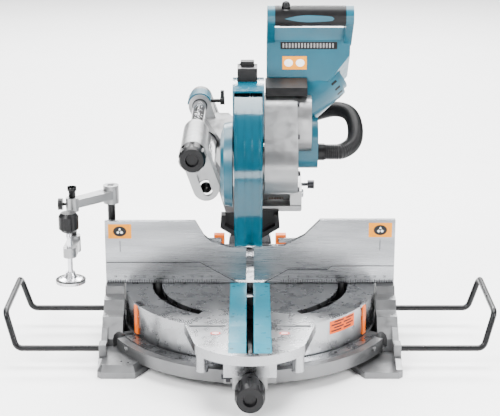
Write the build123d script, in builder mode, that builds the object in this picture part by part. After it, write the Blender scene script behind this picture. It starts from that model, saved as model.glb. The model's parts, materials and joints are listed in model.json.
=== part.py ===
from build123d import *
import os
from math import atan2, cos, degrees, radians, sin, tan

# Sliding compound mitre saw for a 305 mm blade, in millimetres.
# Z is up, Y points to the back and X to the right. The origin is the centre of the four bench bolt
# holes, on the plane of the feet. The mitre axis is Z, and the fence face lies in the plane y = 0.

os.makedirs("parts", exist_ok=True)

# Table and base
TABLE_Z = 115.0
TABLE_R = 258.5
PLATE_T = 9.0
SLOT_IN, SLOT_OUT = 183.0, 203.0
PAN_TOP = 48.0
RIM_R = 300.0
HALF_W = 300.0
SCALE_TOP = 50.6
BOLT_X, BOLT_Y, BOLT_R = 265.0, 125.0, 4.5
ROD_Z, ROD_R = 40.0, 6.0
ROD_REAR, ROD_FRONT = 50.0, -170.0
HOLDER_X = 486.5
# Fence
FENCE_SPLIT = 161.5
FENCE_T = 12.0
SKIN_T = 5.2
# Vise
POST = (-288.0, 36.0)
VROD = (-360.0, -34.0)
SPINDLE = (-362.0, -88.0)
# Slide poles, and the pivot that the head turns on
POLE_HI = (-112.0, 421.0)
POLE_LO = (-86.6, 351.5)
POLE_R = 15.0
PIVOT_Y, PIVOT_Z = 75.0, 291.0
CHOP_RISE = 40.0
# Blade
BLADE_R = 152.4
BLADE_T = 2.4
ARBOR_Y, ARBOR_Z = -143.7, 255.6
GAP = 0.3
FENCE_Z0 = TABLE_Z + 0.4

# The head is drawn as it stands at the bottom of its cut, on a frame that is turned up to its rest
# angle about the pivot, so that every head piece is placed by the planes of that frame.
RISE_C, RISE_S = cos(radians(CHOP_RISE)), sin(radians(CHOP_RISE))
HEAD_ORIGIN = (
    0,
    PIVOT_Y - (PIVOT_Y * RISE_C + PIVOT_Z * RISE_S),
    PIVOT_Z + PIVOT_Y * RISE_S - PIVOT_Z * RISE_C,
)
HEAD = Plane(origin=HEAD_ORIGIN, x_dir=(1, 0, 0), z_dir=(0, RISE_S, RISE_C))
HEAD_SIDE = Plane(origin=HEAD_ORIGIN, x_dir=HEAD.y_dir, z_dir=(1, 0, 0))
HEAD_FRONT = Plane(origin=HEAD_ORIGIN, x_dir=(1, 0, 0), z_dir=HEAD.y_dir * -1)


def save(piece, name):
    piece.part.label = name
    export_step(piece.part, f"parts/{name}.step")


def block(x, y, z, mode=Mode.ADD):
    """A box between pairs of limits in the frame of the part being built."""
    with Locations(((x[0] + x[1]) / 2, (y[0] + y[1]) / 2, (z[0] + z[1]) / 2)):
        Box(x[1] - x[0], y[1] - y[0], z[1] - z[0], mode=mode)


def prism(plane, points, height, mode=Mode.ADD, taper=0):
    """A closed outline on a plane, pushed along the plane's normal."""
    with BuildSketch(plane) as outline:
        with BuildLine():
            Polyline(*points, close=True)
        make_face()
    extrude(outline.sketch, amount=height, mode=mode, taper=taper)


def disc(plane, centre, r, height, mode=Mode.ADD, hole=0):
    """A round on a plane, with an optional hole, pushed along the plane's normal."""
    with BuildSketch(plane) as outline:
        with Locations(centre):
            Circle(r)
            if hole:
                Circle(hole, mode=Mode.SUBTRACT)
    extrude(outline.sketch, amount=height, mode=mode)


def band(plane, r_in, r_out, start, sweep, height, mode=Mode.ADD, centre=(0, 0)):
    """A curved bar between two radii, from angle start and turning by sweep."""
    with BuildSketch(plane) as outline:
        with BuildLine():
            outer = CenterArc(centre, r_out, start, sweep)
            inner = CenterArc(centre, r_in, start, sweep)
            Line(outer @ 0, inner @ 0)
            Line(outer @ 1, inner @ 1)
        make_face()
    extrude(outline.sketch, amount=height, mode=mode)


def link(plane, a, b, r_a, r_b, height, mode=Mode.ADD):
    """Two rounds joined by their outer tangents."""
    with BuildSketch(plane) as outline:
        with Locations(a):
            Circle(r_a)
        with Locations(b):
            Circle(r_b)
        make_hull()
    extrude(outline.sketch, amount=height, mode=mode)


def turned(plane, profile, mode=Mode.ADD):
    """A profile of radius and height, turned about the plane's own y direction."""
    with BuildSketch(plane) as outline:
        with BuildLine():
            Polyline(*profile, close=True)
        make_face()
    revolve(outline.sketch, axis=Axis(plane.origin, plane.y_dir), mode=mode)


def upright(x, y):
    """A plane whose own y direction runs up the vertical line through x, y."""
    return Plane(origin=(x, y, 0), x_dir=(1, 0, 0), z_dir=(0, -1, 0))


def forward(x, z):
    """A plane whose own y direction runs to the front along the line through x, z."""
    return Plane(origin=(x, 0, z), x_dir=(1, 0, 0), z_dir=(0, 0, -1))


def at_z(z):
    return Plane.XY.offset(z)


def back(y):
    """The XZ plane at y, with its normal towards the front, so a height runs forward from y."""
    return Plane.XZ.offset(-y)


def right(x):
    """The YZ plane at x, with its normal to the right."""
    return Plane.YZ.offset(x)


def ways(points, side):
    """An outline for one side: mirrored to the left when side is -1."""
    return [(side * x, y) for x, y in points]


SIDES = {"left": -1, "right": 1}

# ---------------------------------------------------------------- base

FRONT_FOOT = [(300, -50), (300, -221), (292, -229), (225, -229), (196, -172), (212, -130), (232, -50)]
REAR_FOOT = [(300, 40), (300, 182), (292, 190), (236, 190), (214, 160), (214, 110), (232, 40)]
TOWER = [(62, 10), (62, FENCE_Z0), (-20, FENCE_Z0), (-26, 101), (-56, 99), (-64, 80), (-92, 76)]
TOWER_FOOT = [(-124, 40), (-124, 10)]
SIDE_WALL = [(60, 0), (60, 60), (-110, 60), (-150, 26), (-190, 26), (-215, 13), (-215, 0)]
POST_ANGLE = 3.6
FENCE_POST_R = 7.5
SCREW_ANGLES = (212, 232, 252, 288, 308, 328)
POST_SPOT = (193 * cos(radians(POST_ANGLE)), 193 * sin(radians(POST_ANGLE)))

with BuildPart() as base_casting:
    disc(at_z(10), (0, 0), 262, 6)
    disc(at_z(10), (0, 0), 262, PAN_TOP - 10, hole=240)
    band(at_z(22), 255, RIM_R, 202, 136, PAN_TOP - 22)
    disc(at_z(10), (0, 0), 32, PAN_TOP - 10)
    for side in SIDES.values():
        wall_x = 258 if side > 0 else -HALF_W
        prism(right(wall_x), TOWER + TOWER_FOOT, 42)
        side_x = 288 if side > 0 else -HALF_W
        prism(right(side_x), SIDE_WALL, 12)
        for foot in (FRONT_FOOT, REAR_FOOT):
            prism(at_z(0), ways(foot, side), 13)
            prism(at_z(13), ways(foot, side), 13, taper=30)
        x_limits = sorted((side * 286, side * 300))
        block(x_limits, (ROD_FRONT - 12, ROD_FRONT + 12), (10, 51))
        with Locations((side * POST_SPOT[0], POST_SPOT[1], (FENCE_Z0 + 16) / 2)):
            Cylinder(FENCE_POST_R, FENCE_Z0 - 16)
    for angle in range(30, 360, 60):
        with Locations(Rotation(0, 0, angle)):
            with Locations((136, 0, 24)):
                Box(214, 8, 20)
    disc(at_z(PAN_TOP), (0, 0), 262, 80, mode=Mode.SUBTRACT, hole=POST_SPOT[0] + FENCE_POST_R + 8)
    disc(at_z(PAN_TOP), (0, 0), POST_SPOT[0] - FENCE_POST_R - 6, 80, mode=Mode.SUBTRACT)
    with Locations((0, 0, 29)):
        Cylinder(12.1, 60, mode=Mode.SUBTRACT)
    for side in SIDES.values():
        for y in (-BOLT_Y, BOLT_Y):
            with Locations((side * BOLT_X, y, 20)):
                Cylinder(BOLT_R, 60, mode=Mode.SUBTRACT)
            with Locations((side * BOLT_X, y, 25)):
                Cylinder(12, 4, mode=Mode.SUBTRACT)
            with Locations((side * BOLT_X, y, 60)):
                Cylinder(12, 68, mode=Mode.SUBTRACT)
        for spot in ((-254, -203), (-240, -209)):
            with Locations((-side * spot[0], spot[1], 24)):
                Cylinder(2.5, 12, mode=Mode.SUBTRACT)
        for y in (ROD_REAR, ROD_FRONT):
            with Locations(Location((side * 235, y, ROD_Z), (0, 90, 0))):
                Cylinder(ROD_R + 0.06, 150, mode=Mode.SUBTRACT)
        with Locations((side * BOLT_X, ROD_REAR, 62)):
            Cylinder(3.05, 40, mode=Mode.SUBTRACT)
    with Locations((POST[0], POST[1], 84)):
        Cylinder(8.05, 64, mode=Mode.SUBTRACT)
save(base_casting, "base_casting")

with BuildPart() as mitre_scale:
    band(at_z(PAN_TOP), 262.8, 283, 205.5, 129, SCALE_TOP - PAN_TOP)
    for angle in SCREW_ANGLES:
        with Locations(Rotation(0, 0, angle)):
            with Locations((273, 0, PAN_TOP + 1.3)):
                Cylinder(3.5, 4, mode=Mode.SUBTRACT)
save(mitre_scale, "mitre_scale")

with BuildPart() as rubber_feet:
    for side in SIDES.values():
        with Locations((side * 186, -155, 5)):
            Cylinder(9, 10)
        with Locations((side * 186, 155, 5)):
            Cylinder(9, 10)
save(rubber_feet, "rubber_feet")

with BuildPart() as pivot_bolt:
    with Locations((0, 0, 52)):
        Cylinder(12, 84)
    with Locations((0, 0, 7)):
        Cylinder(20, 6)
save(pivot_bolt, "pivot_bolt")

# ---------------------------------------------------------------- fence

FLANGE_TOP = 122.0
BOW_IN, BOW_OUT = 62.0, 84.0
FENCE_BOLTS = ((276, 48), (POST_SPOT[0], 30))
LOWER_LEFT = [(-300, FENCE_Z0), (-25, FENCE_Z0), (-103, FENCE_SPLIT), (-300, FENCE_SPLIT)]
LOWER_RIGHT = [(300, FENCE_Z0), (28, FENCE_Z0), (78, 145), (160, 145), (170, 153.5), (300, 153.5)]
UPPER_LEFT = [(-300, 162), (-300, 250), (-113, 250), (-95, 218.5), (-81, 206.5), (-41, 193.4)]
UPPER_LEFT_IN = [(-8, 194.5), (-8, 162)]
UPPER_RIGHT = [(300, 154), (300, 253), (145, 253), (113, 220), (70, 197), (8, 195), (8, 154)]

with BuildPart() as lower_fence:
    prism(back(SKIN_T), LOWER_LEFT, SKIN_T)
    prism(back(SKIN_T), LOWER_RIGHT, SKIN_T)
    for side in SIDES.values():
        outer, inner = sorted((side * 300, side * 44))
        block((outer, inner), (0, 18), (FENCE_Z0, 119))
        block((outer, inner), (13, 18), (FENCE_Z0, 136))
        outer, inner = sorted((side * 300, side * 172))
        block((outer, inner), (18, 60), (FENCE_Z0, FLANGE_TOP))
        outer, inner = sorted((side * BOW_IN, side * BOW_OUT))
        block((outer, inner), (13, 60), (FENCE_Z0, 132))
    band(at_z(FENCE_Z0), BOW_IN, BOW_OUT, 0, 180, 132 - FENCE_Z0, centre=(0, 60))
    for side in SIDES.values():
        for x in (-247, -152):
            with Locations(Location((side * x, 1, 128), (90, 0, 0))):
                Cylinder(3, 4, mode=Mode.SUBTRACT)
    with Locations((POST[0], POST[1], 118)):
        Cylinder(9, 20, mode=Mode.SUBTRACT)
    for side in SIDES.values():
        for x, y in FENCE_BOLTS:
            with Locations((side * x, y, 118)):
                Cylinder(4.2, 20, mode=Mode.SUBTRACT)
        x_limits = sorted((side * 212, side * 248))
        block(x_limits, (18, 30), (FLANGE_TOP, 186))
        with Locations(Location((side * 230, 30, 170), (90, 0, 0))):
            Cylinder(4.05, 40, mode=Mode.SUBTRACT)
save(lower_fence, "lower_fence")

with BuildPart() as upper_fence_left:
    prism(back(FENCE_T), UPPER_LEFT + UPPER_LEFT_IN, FENCE_T)
    prism(back(FENCE_T), [(-103, 119.3), (-8, 119.3), (-8, 163), (-103, 163)], FENCE_T - SKIN_T - GAP)
    block((-250, -60), (FENCE_T, FENCE_T + 8), (200, 208))
save(upper_fence_left, "upper_fence_left")

with BuildPart() as upper_fence_right:
    prism(back(FENCE_T), UPPER_RIGHT, FENCE_T)
    prism(back(FENCE_T), [(8, 119.3), (170, 119.3), (170, 155), (8, 155)], FENCE_T - SKIN_T - GAP)
    block((60, 250), (FENCE_T, FENCE_T + 8), (200, 208))
save(upper_fence_right, "upper_fence_right")

for name, side in SIDES.items():
    with BuildPart() as fence_clamp:
        with Locations(Location((side * 230, 31.5, 170), (90, 0, 0))):
            Cylinder(4, 38)
        with Locations(Location((side * 230, 56, 170), (90, 0, 0))):
            Cylinder(15, 12)
        block(sorted((side * 226, side * 234)), (52, 60), (150, 190))
    save(fence_clamp, f"fence_clamp_{name}")

# ---------------------------------------------------------------- wire holders

REAR_END, FRONT_END = 192.0, 290.0
for name, side in SIDES.items():
    with BuildPart() as holder:
        with BuildLine() as wire:
            FilletPolyline(
                (side * REAR_END, ROD_REAR, ROD_Z),
                (side * (HOLDER_X - 22), ROD_REAR, ROD_Z),
                (side * HOLDER_X, ROD_REAR, TABLE_Z - ROD_R),
                (side * HOLDER_X, -150, TABLE_Z - ROD_R),
                (side * (HOLDER_X - 22), ROD_FRONT, ROD_Z),
                (side * FRONT_END, ROD_FRONT, ROD_Z),
                radius=16,
            )
        with BuildSketch(Plane(origin=wire.line @ 0, z_dir=wire.line % 0)):
            Circle(ROD_R)
        sweep()
    save(holder, f"wire_holder_{name}")

with BuildPart() as base_screws:
    for side in SIDES.values():
        for x, y in FENCE_BOLTS:
            with Locations((side * x, y, FLANGE_TOP + 3.5)):
                Cylinder(7, 7)
            with Locations((side * x, y, FLANGE_TOP - 3)):
                Cylinder(4.1, 6)
        with Locations((side * BOLT_X, ROD_REAR, 58)):
            Cylinder(3, 23.8)
    for angle in SCREW_ANGLES:
        with Locations(Rotation(0, 0, angle)):
            with Locations((273, 0, PAN_TOP + 1.1)):
                Cylinder(3.5, 2.2)
save(base_screws, "base_screws")

# ---------------------------------------------------------------- vise

with BuildPart() as vise_post:
    with Locations((POST[0], POST[1], 189)):
        Cylinder(8, 258)
save(vise_post, "vise_post")

with BuildPart() as vise_arm:
    link(at_z(291), POST, VROD, 15, 12, 17)
    disc(at_z(280), POST, 16, 38)
    disc(at_z(284), VROD, 13, 28)
    with Locations((POST[0], POST[1], 300)):
        Cylinder(8, 60, mode=Mode.SUBTRACT)
    with Locations((VROD[0], VROD[1], 300)):
        Cylinder(7.05, 60, mode=Mode.SUBTRACT)
    with Locations(Location((VROD[0] - 12, VROD[1], 298), (0, 90, 0))):
        Cylinder(3.05, 20, mode=Mode.SUBTRACT)
save(vise_arm, "vise_arm")

with BuildPart() as vise_thumb_screw:
    with Locations(Location((VROD[0] - 15.3, VROD[1], 298), (0, 90, 0))):
        Cylinder(3, 16)
    with Locations(Location((VROD[0] - 24, VROD[1], 298), (0, 90, 0))):
        Cylinder(12, 9)
save(vise_thumb_screw, "vise_thumb_screw")

with BuildPart() as vise_lower_arm:
    link(at_z(204), VROD, SPINDLE, 13, 13, 20)
    disc(at_z(198), VROD, 14, 34)
    with Locations((SPINDLE[0], SPINDLE[1], 220)):
        Cylinder(5.05, 80, mode=Mode.SUBTRACT)
    with Locations((VROD[0], VROD[1], 264)):
        Cylinder(7, 128)
    with Locations((VROD[0], VROD[1], 331)):
        Cylinder(9, 8)
save(vise_lower_arm, "vise_lower_arm")

with BuildPart() as vise_spindle:
    pad_line = [(0, 150), (30, 150), (30, 156), (13, 160), (9, 172), (5, 172), (5, 280), (0, 280)]
    turned(upright(*SPINDLE), pad_line)
save(vise_spindle, "vise_spindle")

with BuildPart() as vise_knob:
    knob_line = [(5.05, 258), (14, 258), (20, 264), (20, 290)]
    knob_line += [(15, 297), (0, 297), (0, 280.3), (5.05, 280.3)]
    turned(upright(*SPINDLE), knob_line)
    for angle in range(0, 360, 60):
        with Locations(Location((SPINDLE[0], SPINDLE[1], 277), (0, 0, angle))):
            with Locations((23, 0, 0)):
                Cylinder(5, 60, mode=Mode.SUBTRACT)
save(vise_knob, "vise_knob")

# ---------------------------------------------------------------- turn base

FRONT_EDGE_Y = -345.0
NOSE_Y = -388.0
WELL_HALF, BOARD_HALF = 30.0, 41.0
BOARD_T = 5.0
LUG_R, LUG_FRONT, LUG_BACK = 48.0, 262.0, 300.0
POINTER_ANGLE = 28.5

with BuildPart() as turntable:
    disc(at_z(TABLE_Z - PLATE_T), (0, 0), TABLE_R, PLATE_T)
    disc(at_z(PAN_TOP + GAP), (0, 0), TABLE_R, 58, hole=250)
    disc(at_z(PAN_TOP + GAP), (0, 0), 34, 56)
    block((-50, 50), (FRONT_EDGE_Y, -215), (53, TABLE_Z))
    with BuildSketch(at_z(96)) as nose:
        with BuildLine():
            Polyline((-103, -330), (-130, -215), (130, -215), (103, -330))
            ThreePointArc((103, -330), (0, NOSE_Y), (-103, -330))
        make_face()
    extrude(nose.sketch, amount=TABLE_Z - 96)
    for side in SIDES.values():
        with Locations((side * 90, -322, 84)):
            Cylinder(12, 50)
        x_limits = sorted((side * WELL_HALF, side * 42))
        block(x_limits, (-340, 0), (60, 108))
        for angle in (74, 252):
            ray = angle if side > 0 else 180 - angle
            with Locations(Rotation(0, 0, ray)):
                with Locations((142, 0, 84)):
                    Box(224, 7, 46)
        start = -60 if side > 0 else 120
        band(at_z(90), SLOT_IN, SLOT_OUT, start, 120, 40, mode=Mode.SUBTRACT)
        pointer = -POINTER_ANGLE if side > 0 else 180 + POINTER_ANGLE
        with Locations(Rotation(0, 0, pointer)):
            with Locations((TABLE_R - 5, 0, TABLE_Z - 3)):
                Box(16, 26, 8, mode=Mode.SUBTRACT)
        recess = [(48, -235), (118, -235), (98, -326), (48, -334)]
        prism(at_z(TABLE_Z - 2), ways(recess, side), 4, mode=Mode.SUBTRACT)
    disc(back(LUG_BACK), (0, TABLE_Z), LUG_R, LUG_BACK - LUG_FRONT)
    block((-LUG_R, LUG_R), (235, LUG_BACK), (66, TABLE_Z - 0.5))
    block((-WELL_HALF, WELL_HALF), (-372, -52), (40, 112), mode=Mode.SUBTRACT)
    block((-WELL_HALF, WELL_HALF), (FRONT_EDGE_Y, -340), (53, 99))
    block((-WELL_HALF, WELL_HALF), (-53, 4), (97, 112), mode=Mode.SUBTRACT)
    block((-BOARD_HALF, BOARD_HALF), (-372, 4), (TABLE_Z - BOARD_T, 130), mode=Mode.SUBTRACT)
    block((-60, 60), (-400, FRONT_EDGE_Y + 3), (30, 96), mode=Mode.SUBTRACT)
    with Locations((0, 0, 70)):
        Cylinder(12.05, 60, mode=Mode.SUBTRACT)
    with Locations((0, 0, 100)):
        Cylinder(12.05, 10, mode=Mode.SUBTRACT)
    with Locations(Location((0, 280, TABLE_Z), (90, 0, 0))):
        Cylinder(10.05, 120, mode=Mode.SUBTRACT)
    for side in SIDES.values():
        x_limits = sorted((side * 60, side * 78))
        block(x_limits, (236, 252), (TABLE_Z, 141))
        with Locations(Location((side * 69, 244, 131), (90, 0, 0))):
            Cylinder(4, 30, mode=Mode.SUBTRACT)
save(turntable, "turntable")

BOARD_SIDE = [
    (4, TABLE_Z - BOARD_T), (4, TABLE_Z), (-213, TABLE_Z), (-238, TABLE_Z - 1.2), (-318, TABLE_Z - 1.2),
    (-320, TABLE_Z - 2), (-371, TABLE_Z - 2), (-371, TABLE_Z - BOARD_T),
]
with BuildPart() as kerf_boards:
    for side in SIDES.values():
        inner = 7 if side > 0 else -BOARD_HALF + 0.3
        prism(right(inner), BOARD_SIDE, BOARD_HALF - 7.3)
save(kerf_boards, "kerf_boards")

with BuildPart() as mitre_pointers:
    for angle in (-POINTER_ANGLE, 180 + POINTER_ANGLE):
        with Locations(Rotation(0, 0, angle)):
            with Locations((TABLE_R + 1.7, 0, 83)):
                Box(3, 12, 60)
save(mitre_pointers, "mitre_pointers")

GRIP_Z = 46.0
with BuildPart() as grip_bracket:
    for side in SIDES.values():
        x_limits = sorted((side * 26, side * 33))
        block(x_limits, (-342, -302), (28, 53))
        x_limits = sorted((side * 33, side * 50))
        block(x_limits, (-308, -302), (26, 53))
    block((-26, 26), (-341, -303), (30, 53))
    block((-22, 22), (-341, -337), (44, 53), mode=Mode.SUBTRACT)
    with Locations(Location((0, -322, GRIP_Z), (90, 0, 0))):
        Cylinder(6.06, 80, mode=Mode.SUBTRACT)
save(grip_bracket, "grip_bracket")

with BuildPart() as mitre_grip:
    grip_line = [(0, 302), (6, 302), (6, 343), (17, 343), (19, 350), (19, 372), (25, 378), (28.5, 386)]
    turned(forward(0, GRIP_Z), grip_line + [(28.5, 414), (25, 429), (13, 429), (11, 421), (0, 421)])
    for angle in range(0, 360, 45):
        with Locations(Location((0, -405, GRIP_Z), (0, angle, 0))):
            with Locations(Location((32, 0, 0), (90, 0, 0))):
                Cylinder(6, 40, mode=Mode.SUBTRACT)
save(mitre_grip, "mitre_grip")

with BuildPart() as release_lever:
    with Locations(Location((-41.5, -313, 42), (90, 0, 0))):
        Cylinder(5, 8)
    block((-54, -33.5), (-317, -309), (38.5, 45.5))
    block((-46, -37), (-317, -309), (32, 52))
save(release_lever, "release_lever")

# ---------------------------------------------------------------- bevel arm

ARM_FRONT, LINK_FRONT, ARM_BACK = LUG_BACK + GAP, 366.3, 402.0
POLE_FRONT = -96.0
HOLDER_FRONT, HOLDER_BACK, SLEEVE_BACK = -100.0, -42.0, 82.0

with BuildPart() as bevel_arm:
    disc(back(ARM_BACK), (0, TABLE_Z), LUG_R, ARM_BACK - ARM_FRONT)
    link(back(ARM_BACK), (0, TABLE_Z), POLE_LO, 44, 26, ARM_BACK - LINK_FRONT)
    link(back(ARM_BACK), POLE_LO, POLE_HI, 26, 25, ARM_BACK - LINK_FRONT)
    for centre in (POLE_HI, POLE_LO):
        disc(back(ARM_BACK + 1), centre, POLE_R, 60, mode=Mode.SUBTRACT)
    disc(back(ARM_BACK + 1), (0, TABLE_Z), 10, 120, mode=Mode.SUBTRACT)
save(bevel_arm, "bevel_arm")

with BuildPart() as bevel_bolt:
    disc(back(ARM_BACK), (0, TABLE_Z), 10, ARM_BACK - 250)
    disc(back(ARM_BACK + 14), (0, TABLE_Z), 17, 14)
    disc(back(258), (0, TABLE_Z), 9.5, 10)
save(bevel_bolt, "bevel_bolt")

with BuildPart() as slide_poles:
    for centre in (POLE_HI, POLE_LO):
        disc(back(ARM_BACK), centre, POLE_R, ARM_BACK - POLE_FRONT, hole=11.5)
save(slide_poles, "slide_poles")

with BuildPart() as pole_holder:
    disc(back(SLEEVE_BACK), POLE_HI, 26, SLEEVE_BACK - HOLDER_BACK)
    link(back(HOLDER_BACK), POLE_HI, POLE_LO, 26, 26.5, HOLDER_BACK - HOLDER_FRONT)
    for centre in (POLE_HI, POLE_LO):
        disc(back(SLEEVE_BACK + 1), centre, POLE_R, SLEEVE_BACK + 1 - POLE_FRONT, mode=Mode.SUBTRACT)
        disc(back(SLEEVE_BACK + 1), centre, 6.5, 200, mode=Mode.SUBTRACT)
    tilt = degrees(atan2(POLE_LO[1] - POLE_HI[1], POLE_LO[0] - POLE_HI[0]))
    with BuildSketch(back(HOLDER_FRONT + 8)) as slot:
        with Locations(Location((POLE_LO[0] - 3, POLE_LO[1] + 9), (0, 0, tilt))):
            SlotOverall(54, 19)
    extrude(slot.sketch, amount=20, mode=Mode.SUBTRACT)
save(pole_holder, "pole_holder")

with BuildPart() as bevel_knob:
    knob_line = [(0, 100.3), (20, 100.3), (27, 106), (27, 140), (23, 150), (13, 150), (11, 142), (0, 142)]
    turned(forward(*POLE_HI), knob_line)
    disc(back(ARM_BACK), POLE_HI, 6, ARM_BACK + 101)
    for angle in range(0, 360, 45):
        with Locations(Location((POLE_HI[0], -128, POLE_HI[1]), (0, angle, 0))):
            with Locations(Location((30.5, 0, 0), (90, 0, 0))):
                Cylinder(6, 32, mode=Mode.SUBTRACT)
save(bevel_knob, "bevel_knob")

# ---------------------------------------------------------------- carriage

CAR_FRONT, CAR_BACK = 308.0, 364.0
EAR_IN, EAR_OUT = (-2.0, 12.0), (84.0, 108.0)
PIN_R = 8.0
with BuildPart() as carriage:
    link(back(CAR_BACK), POLE_HI, POLE_LO, 25, 23, CAR_BACK - CAR_FRONT)
    with BuildSketch(back(CAR_FRONT + 20)) as neck_back:
        with Locations((-78, 368)):
            Rectangle(60, 66)
    with BuildSketch(back(104)) as neck_front:
        with Locations((42, 293)):
            Rectangle(110, 62)
    loft([neck_back.sketch, neck_front.sketch])
    block((-13, 108), (48, 106), (257, 268))
    for ear in (EAR_IN, EAR_OUT):
        prism(right(ear[0]), [(106, 258), (106, 322), (84, 310), (57, 298), (53, 258)], ear[1] - ear[0])
    prism(back(110), [(92, 240), (120, 240), (120, 275)], 70, mode=Mode.SUBTRACT)
    for centre in (POLE_HI, POLE_LO):
        disc(back(CAR_BACK + 1), centre, 17, 100, mode=Mode.SUBTRACT)
        disc(back(CAR_FRONT), centre, POLE_R + 2, 300, mode=Mode.SUBTRACT)
    disc(right(EAR_IN[0] - 1), (PIVOT_Y, PIVOT_Z), PIN_R, 200, mode=Mode.SUBTRACT)
    with Locations(Location((-80, 336, 427), (0, 90, 0))):
        Cylinder(4.05, 60, mode=Mode.SUBTRACT)
    with Locations(Location((100, 88, 304), (0, 90, 0))):
        Cylinder(3.55, 40, mode=Mode.SUBTRACT)
save(carriage, "carriage")

with BuildPart() as pole_bushes:
    for centre in (POLE_HI, POLE_LO):
        disc(back(CAR_BACK), centre, 17, CAR_BACK - CAR_FRONT, hole=POLE_R + 0.05)
save(pole_bushes, "pole_bushes")

with BuildPart() as carriage_cap:
    band(back(CAR_BACK), 25.0, 28.0, 25, 150, CAR_BACK - CAR_FRONT - 6, centre=POLE_HI)
save(carriage_cap, "carriage_cap")

with BuildPart() as slide_lock:
    with Locations(Location((-79, 336, 427), (0, 90, 0))):
        Cylinder(4, 30)
    with Locations(Location((-62, 336, 427), (0, 90, 0))):
        Cylinder(9, 10)
    block((-66, -58), (330, 342), (427, 450))
save(slide_lock, "slide_lock")

with BuildPart() as pivot_pin:
    disc(right(EAR_IN[0]), (PIVOT_Y, PIVOT_Z), PIN_R, EAR_OUT[1] - EAR_IN[0])
    disc(right(EAR_OUT[1]), (PIVOT_Y, PIVOT_Z), 11, 4)
save(pivot_pin, "pivot_pin")

with BuildPart() as chop_spring:
    for turn in range(6):
        with Locations(Location((39 + 5.6 * turn, PIVOT_Y, PIVOT_Z), (0, 90, 0))):
            Torus(13.5, 2.2)
save(chop_spring, "chop_spring")

with BuildPart() as stopper_pin:
    with Locations(Location((108, 88, 304), (0, 90, 0))):
        Cylinder(3.5, 30)
    with Locations(Location((128, 88, 304), (0, 90, 0))):
        Cylinder(9, 14)
save(stopper_pin, "stopper_pin")

BOOT = [(-60, 256), (-62, 229), (-24, 206), (24, 206), (62, 229), (60, 256.7)]
with BuildPart() as dust_guide:
    prism(back(47.7), BOOT, 26)
    room = [(-50, 270), (-52, 233), (-18, 214), (18, 214), (52, 233), (50, 270)]
    prism(back(41), room, 40, mode=Mode.SUBTRACT)
    block((-12.5, 60), (41, 47.7), (250, 262))
save(dust_guide, "dust_guide")

# ---------------------------------------------------------------- head

ARBOR = (ARBOR_Y, ARBOR_Z)
HINGE = (PIVOT_Y, PIVOT_Z)
CASE_X, GUARD_X = (-33.0, 27.0), (-29.3, 23.0)
CASE_R, GUARD_R = 169.0, 161.5
CASE_FROM, CASE_SWEEP = 15, 135
GUARD_FROM, GUARD_SWEEP = 153, 207
BOSS_R = 34.0
PORT_TURN = 35.0
GEAR_TOP = (-150.0, 352.0)
IDLER = (-122.9, 303.2)
PINION_R, BEVEL_R = 9.0, 38.5
MOTOR = Plane(origin=(30, -105.6, 342.5), z_dir=(0.74, -0.156, 0.652))
MOTOR_R = 47.0
MOTOR_FROM, MOTOR_TO, CAP_TO = 40.0, 150.0, 186.0
BAR = (-283.0, 507.0)
BAR_R, CORE_R = 20.0, 12.0
HANDLE_X = (33.0, 200.0)
PANEL_TOP, PANEL_FOOT = (-215.0, 492.0), (-172.6, 422.7)


def side(x):
    """The head's side plane at x."""
    return HEAD_SIDE.offset(x)


def drum(start, end, r, mode=Mode.ADD):
    """A round on the motor axis, from start to end along it."""
    with Locations(MOTOR.offset((start + end) / 2).location):
        Cylinder(r, end - start, mode=mode)


def toothed(x_limits, centre, pitch_r, teeth, hole):
    """A gear whose teeth stop just inside the pitch circle."""
    module = 2 * pitch_r / teeth
    width = x_limits[1] - x_limits[0]
    disc(side(x_limits[0]), centre, pitch_r - module, width, hole=hole)
    with BuildSketch(side(x_limits[0])) as ring:
        with Locations(centre):
            with PolarLocations(pitch_r - module * 0.6, teeth):
                Rectangle(module * 0.9, module * 1.4)
    extrude(ring.sketch, amount=width)


with BuildPart(HEAD) as gear_housing:
    link(side(28.3), ARBOR, GEAR_TOP, 58, 50, 59)
    disc(side(14), ARBOR, BOSS_R, 15)
    beam_width = 53
    link(side(29), (-110, 300), (20, 291), 37, 17, beam_width)
    link(side(29), (20, 291), HINGE, 17, 17, beam_width)
    link(side(15), (40, 291), HINGE, 14, 17, 15)
    link(side(33), ARBOR, GEAR_TOP, 53, 45, 50, mode=Mode.SUBTRACT)
    disc(side(33), IDLER, BEVEL_R + 0.5, 47, mode=Mode.SUBTRACT)
    disc(side(10), ARBOR, 20, 30, mode=Mode.SUBTRACT)
    drum(7.5, MOTOR_FROM + 1, PINION_R + 0.6, mode=Mode.SUBTRACT)
    link(side(35), HINGE, (99, 291), 20, 24, 35, mode=Mode.SUBTRACT)
    disc(side(10), HINGE, PIN_R + 0.05, 90, mode=Mode.SUBTRACT)
    disc(side(80), GEAR_TOP, 44, 20, mode=Mode.SUBTRACT)
    drum(MOTOR_FROM - 0.2, 200, MOTOR_R, mode=Mode.SUBTRACT)
save(gear_housing, "gear_housing")

with BuildPart(HEAD) as gear_cover:
    link(side(87.3), ARBOR, GEAR_TOP, 57, 49, 5)
    link(side(92.3), (-140, 334), GEAR_TOP, 44, 46, 28)
    link(side(90), (-140, 334), GEAR_TOP, 38, 40, 26, mode=Mode.SUBTRACT)
    drum(MOTOR_FROM - 0.2, 200, MOTOR_R, mode=Mode.SUBTRACT)
save(gear_cover, "gear_cover")

CASE_FOOT = (-95, 305)
with BuildPart(HEAD) as drive_case:
    link(side(92.3), (-114, 330), CASE_FOOT, 38, 32, 42)
    link(side(96), (-114, 330), CASE_FOOT, 33, 27, 34, mode=Mode.SUBTRACT)
    link(side(92), (-140, 334), GEAR_TOP, 44.3, 46.3, 28.6, mode=Mode.SUBTRACT)
    drum(MOTOR_FROM - 0.2, 200, MOTOR_R, mode=Mode.SUBTRACT)
save(drive_case, "drive_case")

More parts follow.
